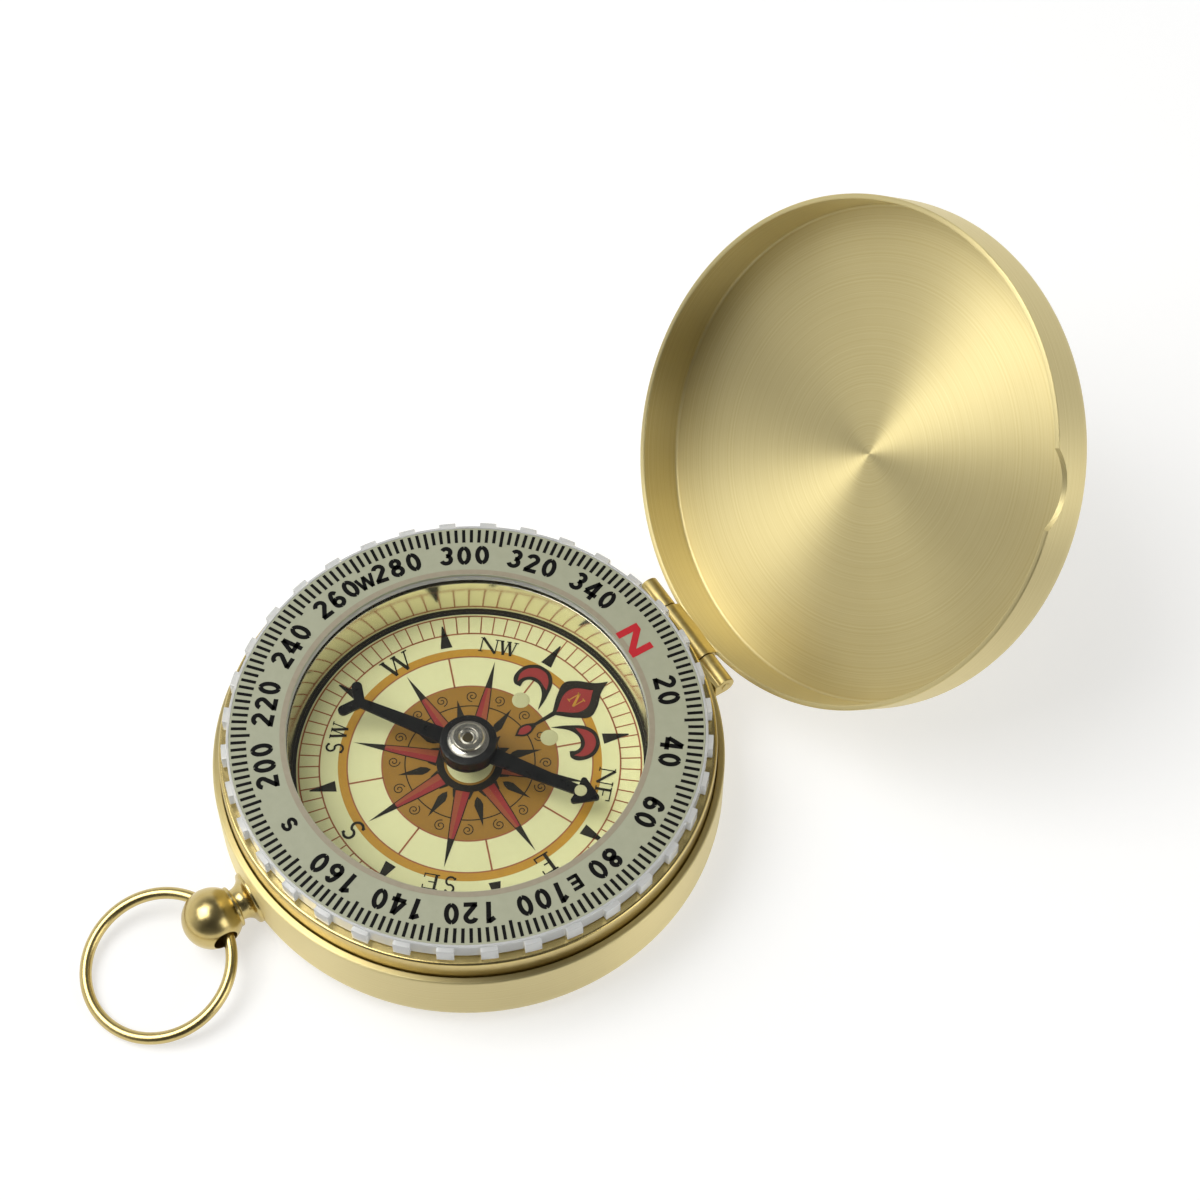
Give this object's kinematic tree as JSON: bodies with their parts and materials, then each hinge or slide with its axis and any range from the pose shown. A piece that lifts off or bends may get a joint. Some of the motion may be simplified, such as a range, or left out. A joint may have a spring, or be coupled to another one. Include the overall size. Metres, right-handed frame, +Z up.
{
  "type": "pocket compass",
  "caption": "Round brass pocket compass with a hinged lid, a turning degree bezel, a printed rose dial, a black needle and a wire ring on a ball pendant.",
  "frame": {"origin": "centre of the case's flat base", "axes": "+Z up out of the dial, +Y from the pendant towards the hinge, +X to the right of the dial"},
  "size_m": [0.05, 0.1053, 0.0464],
  "materials": {
    "brushed_brass": "spun satin",
    "polished_brass": "polished",
    "pivot_steel": "ground",
    "housing_plastic": "moulded",
    "crystal_glass": "clear",
    "clear_acrylic": "clear moulded",
    "scale_print": "printed",
    "plate_aluminium": "plain",
    "card_print": "printed card",
    "bright_ring": "polished",
    "luminous_paint": "matt paint",
    "needle_black": "black enamel",
    "magnet_black": "black lacquer",
    "hub_nickel": "nickel plate",
    "jewel_stone": "polished stone"
  },
  "bodies": {
    "case": {"case_cup": "brushed_brass", "case_collar": "polished_brass", "case_hinge_knuckles": "polished_brass", "hinge_pin": "polished_brass", "pendant_stem": "polished_brass", "pendant_screw": "pivot_steel", "dial_housing": "housing_plastic", "dial_plate": "plate_aluminium", "dial_card": "card_print", "dial_ring": "bright_ring", "north_lume_dots": "luminous_paint", "pivot_post": "polished_brass", "pivot_pin": "pivot_steel", "crystal": "crystal_glass", "bezel_snap_ring": "pivot_steel"},
    "lid": {"lid_shell": "brushed_brass"},
    "bezel": {"bezel_ring": "clear_acrylic", "bezel_scale": "scale_print"},
    "needle": {"compass_needle": "needle_black", "needle_magnet": "magnet_black", "needle_hub": "hub_nickel", "needle_jewel": "jewel_stone", "needle_lume_dot": "luminous_paint"},
    "bow": {"bow_ring": "polished_brass"}
  },
  "joints": [
    {"name": "lid_hinge", "type": "hinge", "parent": "case", "child": "lid", "pos_m": [0, 0.0254, 0.0082], "axis": [1, 0, 0], "range_deg": [0, 129.5]},
    {"name": "bezel_turn", "type": "hinge", "parent": "case", "child": "bezel", "pos_m": [0, 0, 0.0127], "axis": [0, 0, 1], "continuous": true},
    {"name": "needle_swing", "type": "hinge", "parent": "case", "child": "needle", "pos_m": [0, 0, 0.0093], "axis": [0, 0, 1], "continuous": true},
    {"name": "bow_swing", "type": "hinge", "parent": "case", "child": "bow", "pos_m": [0, -0.0291, 0.0035], "axis": [1, 0, 0], "range_deg": [-120, 130]}
  ]
}
